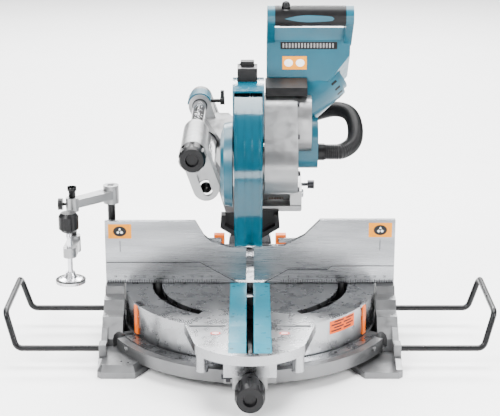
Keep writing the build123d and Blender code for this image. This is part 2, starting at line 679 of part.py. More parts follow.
with BuildPart(HEAD) as blade_case:
    left, right_x = CASE_X
    band(side(left), CASE_R - 4.5, CASE_R, CASE_FROM, CASE_SWEEP, right_x - left, centre=ARBOR)
    band(side(left), 30, CASE_R, CASE_FROM, CASE_SWEEP, 3, centre=ARBOR)
    band(side(right_x - 3), 60, CASE_R, CASE_FROM, CASE_SWEEP, 3, centre=ARBOR)
    link(side(27), ARBOR, GEAR_TOP, 58, 50, 2, mode=Mode.SUBTRACT)
    reach = CASE_R - 2
    port_at = (0, ARBOR_Y + reach * cos(radians(PORT_TURN)), ARBOR_Z + reach * sin(radians(PORT_TURN)))
    with Locations(Location(port_at, (PORT_TURN - 90, 0, 0))):
        Cylinder(13, 12, mode=Mode.SUBTRACT)
save(blade_case, "blade_case")

with BuildPart(HEAD) as centre_cover:
    turned(
        Plane(origin=HEAD.from_local_coords((0, ARBOR_Y, ARBOR_Z)), x_dir=HEAD.z_dir, z_dir=HEAD.y_dir),
        [(0, -57), (56, -57), (80, -50), (84, -34), (80, -34), (76, -47), (54, -53.5), (0, -53.5)],
    )
save(centre_cover, "centre_cover")

with BuildPart(HEAD) as nose_block:
    band(side(-24), CASE_R, CASE_R + 26, 112, 24, 38, centre=ARBOR)
    band(side(-18), CASE_R + 24, CASE_R + 34, 116, 14, 26, centre=ARBOR)
save(nose_block, "nose_block")

with BuildPart(HEAD) as front_cover:
    prism(side(30), [(-203, 374), (-203, 392), (-184, 424), (-160, 436), (-150, 402.2), (-182, 391)], 82)
    link(side(28), ARBOR, GEAR_TOP, 58, 50.2, 59.5, mode=Mode.SUBTRACT)
    link(side(87), (-120, 318), GEAR_TOP, 49, 49.2, 32, mode=Mode.SUBTRACT)
    drum(MOTOR_FROM - 0.2, 200, MOTOR_R, mode=Mode.SUBTRACT)
save(front_cover, "front_cover")

with BuildPart(HEAD) as motor_housing:
    drum(MOTOR_FROM, MOTOR_TO, MOTOR_R)
    drum(MOTOR_FROM + 6, MOTOR_TO + 1, MOTOR_R - 4, mode=Mode.SUBTRACT)
    drum(MOTOR_FROM - 1, MOTOR_FROM + 20, 16, mode=Mode.SUBTRACT)
save(motor_housing, "motor_housing")

with BuildPart(HEAD) as motor_end_cap:
    drum(MOTOR_TO, MOTOR_TO + 24, MOTOR_R)
    drum(MOTOR_TO + 24, CAP_TO, MOTOR_R - 7)
    drum(MOTOR_TO - 1, MOTOR_TO + 20, MOTOR_R - 5, mode=Mode.SUBTRACT)
    drum(MOTOR_TO + 10, MOTOR_TO + 30, 10, mode=Mode.SUBTRACT)
save(motor_end_cap, "motor_end_cap")

with BuildPart(HEAD) as handle_housing:
    body_side = [(-215, 520), PANEL_TOP, PANEL_FOOT, (-110, 400), (-96, 430), (-128, 500), (-150, 520)]
    prism(side(HANDLE_X[0]), body_side, HANDLE_X[1] - HANDLE_X[0])
    front = [(33, 390), (33, 530), (200, 530), (197, 466), (180, 448), (125, 390)]
    prism(HEAD_FRONT.offset(50), front, 220, mode=Mode.INTERSECT)
    for x in (HANDLE_X[0], HANDLE_X[1] - 15):
        link(side(x), BAR, (-205, 503), BAR_R, 16, 15)
    with Locations(Location(((HANDLE_X[0] + HANDLE_X[1]) / 2, BAR[0], BAR[1]), (0, 90, 0))):
        Cylinder(CORE_R, HANDLE_X[1] - HANDLE_X[0] - 2)
    link(side(20), ARBOR, GEAR_TOP, 60, 50.2, 100, mode=Mode.SUBTRACT)
    cover_way = [(-204, 373), (-204, 392.3), (-184.6, 425), (-159.4, 437), (-149.2, 402.5), (-149.2, 399)]
    prism(side(29), cover_way, 84, mode=Mode.SUBTRACT)
    drum(MOTOR_FROM - 0.2, CAP_TO + 2, MOTOR_R, mode=Mode.SUBTRACT)
    block((57.5, 102.5), (BAR[0] - 2, BAR[0] + 30), (BAR[1] - 10.5, BAR[1] + 10.5), mode=Mode.SUBTRACT)
save(handle_housing, "handle_housing")

GRIP_X = (HANDLE_X[0] + 15, HANDLE_X[1] - 15)
BUTTON_WAY = (0, -0.94, 0.342)
BUTTON = Plane(origin=(69, BAR[0], BAR[1]), z_dir=BUTTON_WAY)
with BuildPart(HEAD) as handle_grip:
    disc(side(GRIP_X[0]), BAR, BAR_R, GRIP_X[1] - GRIP_X[0], hole=CORE_R)
    block((57.5, 102.5), (BAR[0] - 2, BAR[0] + 30), (BAR[1] - 10.5, BAR[1] + 10.5), mode=Mode.SUBTRACT)
    with Locations(BUTTON.offset(21).location):
        Cylinder(8.4, 15, mode=Mode.SUBTRACT)
save(handle_grip, "handle_grip")

with BuildPart(HEAD) as trigger:
    block((58, 102), (BAR[0] + 5.5, BAR[0] + 24), (BAR[1] - 10, BAR[1] + 10))
save(trigger, "trigger")

with BuildPart(HEAD) as lock_off_button:
    with Locations(BUTTON.offset(23).location):
        Cylinder(4, 8)
    with Locations(BUTTON.offset(26).location):
        Sphere(8)
save(lock_off_button, "lock_off_button")

# Dust path: a port at the back of the blade case, a port on the gear cover and the hose between them
HOSE_R = 16.0
PORT_LINE = (cos(radians(PORT_TURN)), sin(radians(PORT_TURN)))
REAR_PORT = Plane(
    origin=HEAD.from_local_coords((0, ARBOR_Y + CASE_R * PORT_LINE[0], ARBOR_Z + CASE_R * PORT_LINE[1])),
    z_dir=HEAD.y_dir * PORT_LINE[0] + HEAD.z_dir * PORT_LINE[1],
)
SIDE_PORT = Plane(origin=HEAD.from_local_coords((134.3, *CASE_FOOT)), z_dir=(1, 0, 0))
PORT_LEN, SIDE_LEN = 34.0, 14.0

with BuildPart() as dust_ports:
    for plane, length in ((REAR_PORT, PORT_LEN), (SIDE_PORT, SIDE_LEN)):
        with BuildSketch(plane) as mouth:
            Circle(17)
            Circle(13, mode=Mode.SUBTRACT)
        extrude(mouth.sketch, amount=length)
save(dust_ports, "dust_ports")

# The hose runs from the side port out to the right, round behind the motor and back to the rear port.
HOSE_START = SIDE_PORT.origin + SIDE_PORT.z_dir * SIDE_LEN
HOSE_END = REAR_PORT.origin + REAR_PORT.z_dir * PORT_LEN
HOSE_ROUTE = [
    tuple(HOSE_START), tuple(HOSE_START + SIDE_PORT.z_dir * 36), (211, -8, 418), (218, 52, 437),
    (210, 106, 455), (182, 142, 456), (146, 162, 442), (108, 174, 424), (70, 176, 406), (32, 164, 393),
    tuple(HOSE_END + REAR_PORT.z_dir * 48), tuple(HOSE_END),
]


def bend_radii(route, share=0.45):
    """The largest arc that each corner's two runs allow."""
    radii = []
    for before, corner, after in zip(route, route[1:], route[2:]):
        run_in = Vector(*corner) - Vector(*before)
        run_out = Vector(*after) - Vector(*corner)
        turn = radians(run_in.get_angle(run_out))
        radii.append(share * min(run_in.length, run_out.length) / tan(turn / 2))
    return radii


print("hose bend radii", [round(r) for r in bend_radii(HOSE_ROUTE)])
with BuildPart() as dust_hose:
    with BuildLine() as path:
        FilletPolyline(*HOSE_ROUTE, radius=bend_radii(HOSE_ROUTE))
    with BuildSketch(Plane(origin=path.line @ 0, z_dir=path.line % 0)):
        Circle(HOSE_R)
    sweep()
print("hose length", round(path.wires()[0].length))
save(dust_hose, "dust_hose")

# ---------------------------------------------------------------- drive and blade

with BuildPart(HEAD) as stator:
    drum(62, 118, MOTOR_R - 4.2)
    drum(61, 119, 27, mode=Mode.SUBTRACT)
save(stator, "stator")

with BuildPart(HEAD) as armature:
    drum(13, 148, 6)
    drum(66, 114, 26)
    drum(124, 140, 16)
    drum(50, 58, 38)
    pinion_seat = MOTOR.offset(8)
    seat = Plane(
        origin=HEAD.from_local_coords(tuple(pinion_seat.origin)),
        z_dir=HEAD.y_dir * MOTOR.z_dir.Y + HEAD.z_dir * MOTOR.z_dir.Z + HEAD.x_dir * MOTOR.z_dir.X,
    )
    with BuildSketch(seat) as pinion:
        Circle(PINION_R - 2)
        with PolarLocations(PINION_R - 1.5, 10):
            Rectangle(2.6, 2)
    extrude(pinion.sketch, amount=8)
save(armature, "armature")

with BuildPart(HEAD) as idler_gear:
    disc(side(33.2), IDLER, 6, 47)
    toothed((36, 42), IDLER, BEVEL_R, 34, 0)
    toothed((43, 55), IDLER, 17.33, 20, 0)
save(idler_gear, "idler_gear")

with BuildPart(HEAD) as arbor_shaft:
    disc(side(-6), ARBOR, 12.7, 82)
    toothed((43.5, 54.5), ARBOR, 34.67, 40, 0)
save(arbor_shaft, "arbor_shaft")

with BuildPart(HEAD) as arbor_bearings:
    disc(side(15), ARBOR, 20, 16, hole=12.76)
save(arbor_bearings, "arbor_bearings")

TEETH = 60
with BuildPart(HEAD) as blade:
    with BuildSketch(side(-BLADE_T / 2)) as plate:
        with Locations(ARBOR):
            Circle(BLADE_R - 7)
            with PolarLocations(BLADE_R - 6.5, TEETH):
                Polygon((-2, -3), (6.5, -3), (6.5, 1.5), (3, 2.2), align=None)
            Circle(12.7, mode=Mode.SUBTRACT)
    extrude(plate.sketch, amount=BLADE_T)
save(blade, "blade")

with BuildPart(HEAD) as blade_clamp:
    disc(side(BLADE_T / 2), ARBOR, 22, 5.5, hole=12.7)
    disc(side(-6), ARBOR, 22, 6 - BLADE_T / 2, hole=12.7)
    with BuildSketch(side(-15)) as bolt:
        with Locations(ARBOR):
            RegularPolygon(9, 6)
    extrude(bolt.sketch, amount=9)
save(blade_clamp, "blade_clamp")

with BuildPart(HEAD) as lower_guard:
    width = GUARD_X[1] - GUARD_X[0]
    band(side(GUARD_X[0]), GUARD_R - 2.5, GUARD_R, GUARD_FROM, GUARD_SWEEP, width, centre=ARBOR)
    band(side(GUARD_X[0]), 62, GUARD_R, GUARD_FROM, GUARD_SWEEP, 2.3, centre=ARBOR)
    band(side(GUARD_X[1] - 2.3), 40, GUARD_R, GUARD_FROM, GUARD_SWEEP, 2.3, centre=ARBOR)
    disc(side(GUARD_X[1] - 2.3), ARBOR, 46, 2.3, hole=BOSS_R + 0.06)
save(lower_guard, "lower_guard")
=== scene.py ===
import bmesh
import bpy
import json
from math import cos, pi, radians, sin
from mathutils import Matrix, Vector


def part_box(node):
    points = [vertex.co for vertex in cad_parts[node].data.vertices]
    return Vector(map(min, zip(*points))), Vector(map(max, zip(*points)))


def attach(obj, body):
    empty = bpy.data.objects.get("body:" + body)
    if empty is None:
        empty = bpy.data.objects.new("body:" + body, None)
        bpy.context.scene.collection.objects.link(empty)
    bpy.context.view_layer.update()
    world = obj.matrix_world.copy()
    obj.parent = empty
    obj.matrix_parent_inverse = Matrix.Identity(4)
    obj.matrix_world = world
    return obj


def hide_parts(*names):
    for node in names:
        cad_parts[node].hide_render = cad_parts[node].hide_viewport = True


# Looks of the sliding mitre saw: materials for the CAD pieces, and the detail that stands on them.
# Lengths are in metres. MM turns millimetres into metres.

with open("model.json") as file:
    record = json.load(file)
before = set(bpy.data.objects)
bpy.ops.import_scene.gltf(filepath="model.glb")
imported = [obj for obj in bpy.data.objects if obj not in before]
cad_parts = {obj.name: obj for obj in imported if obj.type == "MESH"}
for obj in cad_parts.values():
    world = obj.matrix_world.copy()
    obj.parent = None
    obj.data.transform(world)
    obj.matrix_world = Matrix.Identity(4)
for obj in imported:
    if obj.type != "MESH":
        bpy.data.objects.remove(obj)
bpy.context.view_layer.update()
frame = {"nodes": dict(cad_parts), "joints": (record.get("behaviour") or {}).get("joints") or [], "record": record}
MM = 0.001
NODES = frame["nodes"]
JOINTS = {joint["name"]: joint for joint in frame["joints"]}
SIDES = (-1, 1)

# The head's own frame is level at the bottom of its cut, so its pieces are placed there and turned up.
PIVOT = Vector(JOINTS["chop"]["pos_m"])
RISE = radians(40)
HEAD = Matrix.Translation(PIVOT) @ Matrix.Rotation(-RISE, 4, "X") @ Matrix.Translation(-PIVOT)
BLADE_AXIS = (-143.7, 255.6)  # y and z of the blade's axis in the head's own frame, in millimetres
MOTOR_AXIS = Vector(JOINTS["motor_spin"]["axis"]).normalized()
MOTOR_AT = Vector(JOINTS["motor_spin"]["pos_m"])


# ---------------------------------------------------------------- materials


class Surface:
    """A node material: a principled shader with helpers that add variation and bump to it."""

    def __init__(self, name, color, roughness, metallic=0.0):
        self.material = bpy.data.materials.new(name)
        self.material.use_nodes = True
        self.nodes = self.material.node_tree.nodes
        self.links = self.material.node_tree.links
        self.shader = self.nodes["Principled BSDF"]
        self.color = color
        self.shader.inputs["Base Color"].default_value = (*color, 1)
        self.shader.inputs["Roughness"].default_value = roughness
        self.shader.inputs["Metallic"].default_value = metallic
        self.place = self.nodes.new("ShaderNodeTexCoord")
        self.heights = []

    def noise(self, scale, detail=4.0, stretch=(1, 1, 1)):
        """Noise in the object's own space, stretched along the axes."""
        mapping = self.nodes.new("ShaderNodeMapping")
        mapping.inputs["Scale"].default_value = stretch
        texture = self.nodes.new("ShaderNodeTexNoise")
        texture.inputs["Scale"].default_value = scale
        texture.inputs["Detail"].default_value = detail
        self.links.new(self.place.outputs["Object"], mapping.inputs["Vector"])
        self.links.new(mapping.outputs["Vector"], texture.inputs["Vector"])
        return texture.outputs["Fac"]

    def vary_color(self, source, darker, lighter):
        """The base colour runs from darker to lighter, as factors of the plain colour."""
        ramp = self.nodes.new("ShaderNodeValToRGB")
        ramp.color_ramp.elements[0].position = 0.3
        ramp.color_ramp.elements[1].position = 0.7
        ramp.color_ramp.elements[0].color = (*[min(1, c * darker) for c in self.color], 1)
        ramp.color_ramp.elements[1].color = (*[min(1, c * lighter) for c in self.color], 1)
        self.links.new(source, ramp.inputs["Fac"])
        self.links.new(ramp.outputs["Color"], self.shader.inputs["Base Color"])

    def vary_roughness(self, source, low, high):
        spread = self.nodes.new("ShaderNodeMapRange")
        spread.inputs["From Min"].default_value = 0.3
        spread.inputs["From Max"].default_value = 0.7
        spread.inputs["To Min"].default_value = low
        spread.inputs["To Max"].default_value = high
        self.links.new(source, spread.inputs["Value"])
        self.links.new(spread.outputs["Result"], self.shader.inputs["Roughness"])

    def bump(self, source, strength, distance):
        node = self.nodes.new("ShaderNodeBump")
        node.inputs["Strength"].default_value = strength
        node.inputs["Distance"].default_value = distance
        self.links.new(source, node.inputs["Height"])
        if self.heights:
            self.links.new(self.heights[-1].outputs["Normal"], node.inputs["Normal"])
        self.heights.append(node)
        self.links.new(node.outputs["Normal"], self.shader.inputs["Normal"])


def cast_metal(name, color, roughness=0.5, grain=900, depth=0.0003):
    """A sandblasted casting: a fine grain with faint broad patches."""
    surface = Surface(name, color, roughness, 0.85)
    surface.vary_color(surface.noise(9, 2), 0.82, 1.15)
    surface.vary_roughness(surface.noise(60, 5), roughness - 0.08, roughness + 0.1)
    surface.bump(surface.noise(grain, 3), 0.35, depth)
    surface.bump(surface.noise(grain / 7, 3), 0.12, depth * 2)
    return surface.material


def brushed_metal(name, color, roughness, stretch, lines=700):
    """A machined face: fine lines along the axis that isn't stretched."""
    surface = Surface(name, color, roughness, 1.0)
    grain = surface.noise(lines, 3, stretch)
    surface.vary_color(surface.noise(8, 2, (0.35, 1, 2.2)), 0.6, 1.3)
    surface.vary_roughness(grain, roughness - 0.07, roughness + 0.12)
    surface.bump(grain, 0.16, 0.0002)
    return surface.material


def turned_metal(name, color, roughness):
    """A face cut on a vertical lathe: rings about the mitre axis, with a soft haze over them."""
    surface = Surface(name, color, roughness, 1.0)
    rings = surface.nodes.new("ShaderNodeTexWave")
    rings.wave_type = "RINGS"
    rings.rings_direction = "Z"
    rings.inputs["Scale"].default_value = 120
    rings.inputs["Distortion"].default_value = 0.4
    rings.inputs["Detail"].default_value = 1
    surface.links.new(surface.place.outputs["Object"], rings.inputs["Vector"])
    surface.vary_color(surface.noise(4, 1, (0.7, 1.6, 1)), 0.72, 1.2)
    surface.vary_roughness(surface.noise(35, 5), roughness - 0.08, roughness + 0.1)
    surface.bump(rings.outputs["Fac"], 0.03, 0.0001)
    surface.bump(surface.noise(900, 2), 0.03, 0.0001)
    return surface.material


def moulded(name, color, roughness=0.42, grain=1400, depth=0.00022, coat=0.0, shine=0.35):
    """A moulded plastic skin: a fine texture and a slow change of tone."""
    surface = Surface(name, color, roughness)
    surface.shader.inputs["Specular IOR Level"].default_value = shine
    surface.shader.inputs["Coat Weight"].default_value = coat
    surface.shader.inputs["Coat Roughness"].default_value = 0.15
    surface.vary_color(surface.noise(22, 4), 0.9, 1.1)
    surface.vary_roughness(surface.noise(90, 4), roughness - 0.06, roughness + 0.08)
    surface.bump(surface.noise(grain, 2), 0.22, depth)
    return surface.material


def clear_plastic(name, color):
    """A tinted clear guard with faint scratches."""
    surface = Surface(name, color, 0.09)
    surface.shader.inputs["Transmission Weight"].default_value = 0.62
    surface.shader.inputs["IOR"].default_value = 1.46
    surface.vary_color(surface.noise(26, 4), 0.88, 1.08)
    surface.vary_roughness(surface.noise(300, 4, (1, 6, 1)), 0.05, 0.2)
    surface.bump(surface.noise(700, 2), 0.05, 0.0002)
    return surface.material


def printed(name, color, roughness=0.35):
    """A thin printed film with a little mottle in its ink."""
    surface = Surface(name, color, roughness)
    surface.shader.inputs["Specular IOR Level"].default_value = 0.15
    surface.vary_color(surface.noise(500, 3), 0.92, 1.06)
    surface.vary_roughness(surface.noise(260, 3), roughness - 0.05, roughness + 0.1)
    return surface.material


TEAL = (0.0, 0.062, 0.096)
SILVER = (0.25, 0.252, 0.255)
LOOKS = {
    "cast_aluminium": cast_metal("cast_aluminium", (0.15, 0.152, 0.155), 0.38, 1100, 0.00015),
    "table_face": turned_metal("table_face", (0.30, 0.305, 0.315), 0.28),
    "fence_face": brushed_metal("fence_face", (0.27, 0.278, 0.29), 0.26, (0.02, 1, 1)),
    "silver_paint": cast_metal("silver_paint", SILVER, 0.36, 1500, 0.00016),
    "teal_paint": moulded("teal_paint", (0.0, 0.062, 0.098), 0.24, 1800, 0.0001, 0.3),
    "teal_plastic": moulded("teal_plastic", TEAL, 0.36, 1500, 0.00018, 0.15),
    "teal_board": moulded("teal_board", (0.0, 0.16, 0.23), 0.32, 1200, 0.0002),
    "guard_plastic": clear_plastic("guard_plastic", (0.0, 0.10, 0.155)),
    "black_plastic": moulded("black_plastic", (0.004, 0.004, 0.0045), 0.34, shine=0.2),
    "soft_black": moulded("soft_black", (0.004, 0.004, 0.0045), 0.4, 1000, 0.0002, shine=0.18),
    "black_steel": moulded("black_steel", (0.004, 0.004, 0.0045), 0.3, 700, 0.00002, 0.08, 0.2),
    "bright_steel": brushed_metal("bright_steel", (0.62, 0.62, 0.64), 0.26, (1, 1, 0.05)),
    "pole_chrome": brushed_metal("pole_chrome", (0.80, 0.81, 0.83), 0.14, (1, 0.04, 1), 500),
    "dark_steel": cast_metal("dark_steel", (0.03, 0.03, 0.033), 0.36, 1200, 0.0001),
    "spring_steel": cast_metal("spring_steel", (0.22, 0.16, 0.12), 0.36, 1000, 0.0002),
    "orange": moulded("orange", (0.66, 0.11, 0.0), 0.34, 1500, 0.0001, 0.3),
    "copper": cast_metal("copper", (0.42, 0.20, 0.10), 0.4),
    "yellow_film": printed("yellow_film", (0.72, 0.25, 0.0)),
    "orange_film": printed("orange_film", (0.70, 0.085, 0.0)),
    "black_ink": printed("black_ink", (0.012, 0.012, 0.012)),
    "white_ink": printed("white_ink", (0.86, 0.86, 0.84)),
    "red_ink": printed("red_ink", (0.62, 0.02, 0.02)),
    # This dark ink prints the real ticks and also colours the painted shade lines at the fence seams and at the
    # fence's foot.
    "tick_ink_and_painted_shade": printed("tick_ink_and_painted_shade", (0.008, 0.008, 0.009), 0.6),
}
# The look of each of the record's material slots, and of the nodes that differ from their slot.
SLOT_LOOKS = {
    "machined_aluminium": "fence_face",
    "orange_plastic": "orange",
    "copper_stack": "copper",
}
NODE_LOOKS = {
    "turntable": "table_face",
    "mitre_scale": "table_face",
}
EDGES = {
    "base_casting": 1.6,
    "turntable": 1.2,
    "handle_housing": 5.0,
    "gear_housing": 2.5,
    "gear_cover": 2.5,
    "carriage": 2.2,
    "pole_holder": 2.0,
    "bevel_arm": 3.0,
    "nose_block": 2.0,
    "motor_end_cap": 5.0,
    "motor_housing": 1.5,
    "vise_arm": 2.0,
    "vise_lower_arm": 2.0,
    "centre_cover": 2.0,
    "drive_case": 3.0,
    "lower_guard": 2.2,
    "blade_case": 2.0,
    "front_cover": 3.0,
}


def finish_node(node, obj, slot):
    """A CAD piece gets its look, soft edges and smooth shading; its mesh stays as it is."""
    look = NODE_LOOKS.get(node, SLOT_LOOKS.get(slot, slot))
    obj.data.materials.clear()
    obj.data.materials.append(LOOKS[look])
    for face in obj.data.polygons:
        face.use_smooth = True
    bevel = obj.modifiers.new("soft_edges", "BEVEL")
    bevel.width = EDGES.get(node, 0.6) * MM
    bevel.segments = 3
    bevel.limit_method = "ANGLE"
    bevel.angle_limit = radians(28)
    bevel.use_clamp_overlap = True
    bevel.harden_normals = True


for part in frame["record"]["subparts"]:
    finish_node(part["node"], NODES[part["node"]], part["material_slot"])


# ---------------------------------------------------------------- mesh helpers


def piece(name, mesh_code, look, body, smooth=True, place=Matrix.Identity(4)):
    """A new piece from bmesh code, moved into place, with a look, riding on a body."""
    data = bmesh.new()
    mesh_code(data)
    bmesh.ops.transform(data, matrix=place, verts=data.verts)
    bmesh.ops.recalc_face_normals(data, faces=data.faces)
    mesh = bpy.data.meshes.new(name)
    data.to_mesh(mesh)
    data.free()
    for face in mesh.polygons:
        face.use_smooth = smooth
    obj = bpy.data.objects.new(name, mesh)
    bpy.context.scene.collection.objects.link(obj)
    obj.data.materials.append(LOOKS[look])
    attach(obj, body)
    return obj


def soften(obj, width, segments=2, angle=30):
    bevel = obj.modifiers.new("soft_edges", "BEVEL")
    bevel.width = width * MM
    bevel.segments = segments
    bevel.limit_method = "ANGLE"
    bevel.angle_limit = radians(angle)
    bevel.harden_normals = True
    return obj


def bar(data, low, high):
    """A box between two corners, in millimetres."""
    low, high = Vector(low) * MM, Vector(high) * MM
    size = high - low
    place = Matrix.Translation((low + high) / 2) @ Matrix.Diagonal((*size, 1))
    bmesh.ops.create_cube(data, size=1, matrix=place)


def facing(at, normal):
    """A matrix that puts local Z on a direction, at a point in millimetres."""
    turn = Vector((0, 0, 1)).rotation_difference(Vector(normal)).to_matrix().to_4x4()
    return Matrix.Translation(Vector(at) * MM) @ turn


def lathe(data, profile, place, steps=48):
    """A profile of radius and height in millimetres, turned about local Z."""
    rings = []
    for radius, height in profile:
        ring = []
        for step in range(steps):
            angle = 2 * pi * step / steps
            point = Vector((radius * cos(angle), radius * sin(angle), height)) * MM
            ring.append(data.verts.new(place @ point))
        rings.append(ring)
    for lower, upper in zip(rings, rings[1:]):
        for step in range(steps):
            after = (step + 1) % steps
            data.faces.new((lower[step], lower[after], upper[after], upper[step]))
    data.faces.new(rings[0][::-1])
    data.faces.new(rings[-1])


def socket_head(data, at, normal, radius, height):
    """A socket screw: a round head with a chamfer and a hexagonal well."""
    place = facing(at, normal)
    well = radius * 0.52
    outer = [(radius, 0), (radius, height * 0.8), (radius * 0.86, height), (well * 1.12, height)]
    lathe(data, outer + [(well, height * 0.9), (well * 0.98, height * 0.35)], place, 24)


def patch(data, radius, start, sweep, z_low, z_high, steps=12):
    """A film on an upright round, from angle start in degrees, in millimetres."""
    columns = []
    for step in range(steps + 1):
        angle = radians(start + sweep * step / steps)
        at = Vector((radius * cos(angle), radius * sin(angle), 0))
        low = data.verts.new((at + Vector((0, 0, z_low))) * MM)
        high = data.verts.new((at + Vector((0, 0, z_high))) * MM)
        columns.append((low, high))
    for near, far in zip(columns, columns[1:]):
        data.faces.new((near[0], far[0], far[1], near[1]))


def disc(data, at, normal, radius, stretch=1.0, steps=32):
    """A flat round or oval film."""
    place = facing(at, normal) @ Matrix.Diagonal((stretch, 1, 1, 1))
    bmesh.ops.create_circle(data, cap_ends=True, radius=radius * MM, segments=steps, matrix=place)


def digits(data, text, place, size):
    """Number outlines, filled flat, added to a mesh."""
    curve = bpy.data.curves.new("digits", "FONT")
    curve.body = text
    curve.size = size * MM
    curve.align_x = "CENTER"
    curve.align_y = "CENTER"
    holder = bpy.data.objects.new("digits", curve)
    bpy.context.scene.collection.objects.link(holder)
    bpy.context.view_layer.update()
    mesh = bpy.data.meshes.new_from_object(holder.evaluated_get(bpy.context.evaluated_depsgraph_get()))
    mesh.transform(place)
    data.from_mesh(mesh)
    bpy.data.objects.remove(holder)
    bpy.data.meshes.remove(mesh)


# ---------------------------------------------------------------- scales and films


def fence_rule(data):
    """Marks every 5 mm along the foot of the lower fence, counted from the blade."""
    upright = Matrix.Rotation(radians(90), 4, "X")
    for side in SIDES:
        for step in range(13, 60):
            x = side * step * 5
            tall = 10 if step % 20 == 0 else 7 if step % 2 == 0 else 4.5
            bar(data, (x - 0.5, -0.25, 116.5), (x + 0.5, 0.1, 116.5 + tall))
            if step % 4 == 0:
                place = Matrix.Translation(Vector((x, -0.2, 129.5)) * MM) @ upright
                digits(data, str(step // 2), place, 6)


SCALE_SCREW_TURNS = (212, 232, 252, 288, 308, 328)
MARK_START_R, NUMBER_R = 264.5, 277


def mitre_marks(data):
    """Degree marks on the front scale, with numbers from the middle out."""
    for degree in range(-60, 61):
        if any(abs(degree + 270 - screw) < 2 for screw in SCALE_SCREW_TURNS):
            continue
        length = 9 if degree % 5 == 0 else 5
        size = Matrix.Diagonal((length * MM, 0.9 * MM, 0.2 * MM, 1))
        mark = bmesh.ops.create_cube(data, size=1, matrix=size)
        turn = Matrix.Rotation(radians(degree - 90), 4, "Z")
        reach = Matrix.Translation(Vector((MARK_START_R + length / 2, 0, 50.65)) * MM)
        bmesh.ops.transform(data, matrix=turn @ reach, verts=mark["verts"])
        if degree % 15 == 0:
            reach = Matrix.Translation(Vector((NUMBER_R, 0, 50.75)) * MM)
            digits(data, str(abs(degree)), turn @ reach @ Matrix.Rotation(radians(90), 4, "Z"), 6.5)


piece("fence_rule_marks", fence_rule, "tick_ink_and_painted_shade", "base", smooth=False)
piece("mitre_scale_marks", mitre_marks, "tick_ink_and_painted_shade", "base", smooth=False)


def fence_label(side, top, body):
    """A yellow film with a plain round sign on the outer corner of an upper fence."""
    x = side * 269

    def film(data):
        bar(data, (x - 24, -0.3, top - 37), (x + 24, 0.05, top - 6))

    def sign(data):
        disc(data, (x, -0.4, top - 21.5), (0, -1, 0), 11, 1.25)

    def wedge(data):
        for turn in range(3):
            angle = radians(90 + 120 * turn)
            at = (x + 4.2 * cos(angle), -0.5, top - 21.5 + 4.2 * sin(angle))
            disc(data, at, (0, -1, 0), 3.1, 1, 3 + turn)

    tag = "left" if side < 0 else "right"
    piece(f"fence_film_{tag}", film, "yellow_film", body, smooth=False)
    piece(f"fence_sign_{tag}", sign, "black_ink", body, smooth=False)
    piece(f"fence_sign_shape_{tag}", wedge, "white_ink", body, smooth=False)

    def mark(data):
        bar(data, (x - 0.6, -0.25, top - 66), (x + 0.6, 0.05, top - 42))

    piece(f"fence_mark_{tag}", mark, "tick_ink_and_painted_shade", body, smooth=False)


fence_label(-1, 250, "fence_left")
fence_label(1, 253, "fence_right")


def rim_film(data):
    patch(data, 258.8, -53, 16, 84, 111)


def rim_film_lines(data):
    """Plain bars in place of the printed words."""
    for row in range(4):
        z = 88 + 6 * row
        start = -52 + 1.5 * (row % 2)
        patch(data, 259.0, start, 6.0, z, z + 3, 6)
        patch(data, 259.0, start + 7.5, 5.0, z, z + 3, 6)


piece("rim_film", rim_film, "orange_film", "turn_base")
piece("rim_film_lines", rim_film_lines, "black_ink", "turn_base")


def oval_rings(data):
    for side in SIDES:
        disc(data, (side * 66, -270, 113.15), (0, 0, 1), 7.5, 1.35)


def oval_hearts(data):
    for side in SIDES:
        disc(data, (side * 66, -270, 113.3), (0, 0, 1), 5, 1.35)


def oval_bars(data):
    for side in SIDES:
        bar(data, (side * 66 - 5, -271, 113.3), (side * 66 + 5, -269, 113.45))


piece("oval_rings", oval_rings, "red_ink", "turn_base", smooth=False)
piece("oval_hearts", oval_hearts, "white_ink", "turn_base", smooth=False)
piece("oval_bars", oval_bars, "red_ink", "turn_base", smooth=False)


# ---------------------------------------------------------------- screws


def fence_screws(data):
    for side in SIDES:
        for x, top in ((276, 129), (192.6, 129)):
            y = 48 if x > 200 else 30
            socket_head(data, (side * x, y, top - 0.2), (0, 0, 1), 6.4, 2)


def board_screws(data):
    for side in SIDES:
        for y, top in ((-345, 113.0), (-190, 115.0), (-20, 115.0)):
            socket_head(data, (side * 34, y, top - 0.6), (0, 0, 1), 3.4, 0.9)


def scale_screws(data):
    for angle in (212, 232, 252, 288, 308, 328):
        at = (273 * cos(radians(angle)), 273 * sin(radians(angle)), 50.0)
        socket_head(data, at, (0, 0, 1), 3.6, 1.4)


piece("fence_screw_heads", fence_screws, "dark_steel", "base")
piece("board_screw_heads", board_screws, "dark_steel", "turn_base")
piece("scale_screw_heads", scale_screws, "dark_steel", "base")


def housing_screws(data):
    spots = [(-195, 290), (-190, 215), (-130, 208), (-196, 360), (-128, 385), (-165, 396), (-95, 262)]
    for y, z in spots:
        socket_head(data, (92.3, y, z), (1, 0, 0), 5, 4)


piece("gear_cover_screws", housing_screws, "dark_steel", "head", place=HEAD)


# ---------------------------------------------------------------- spring and hose


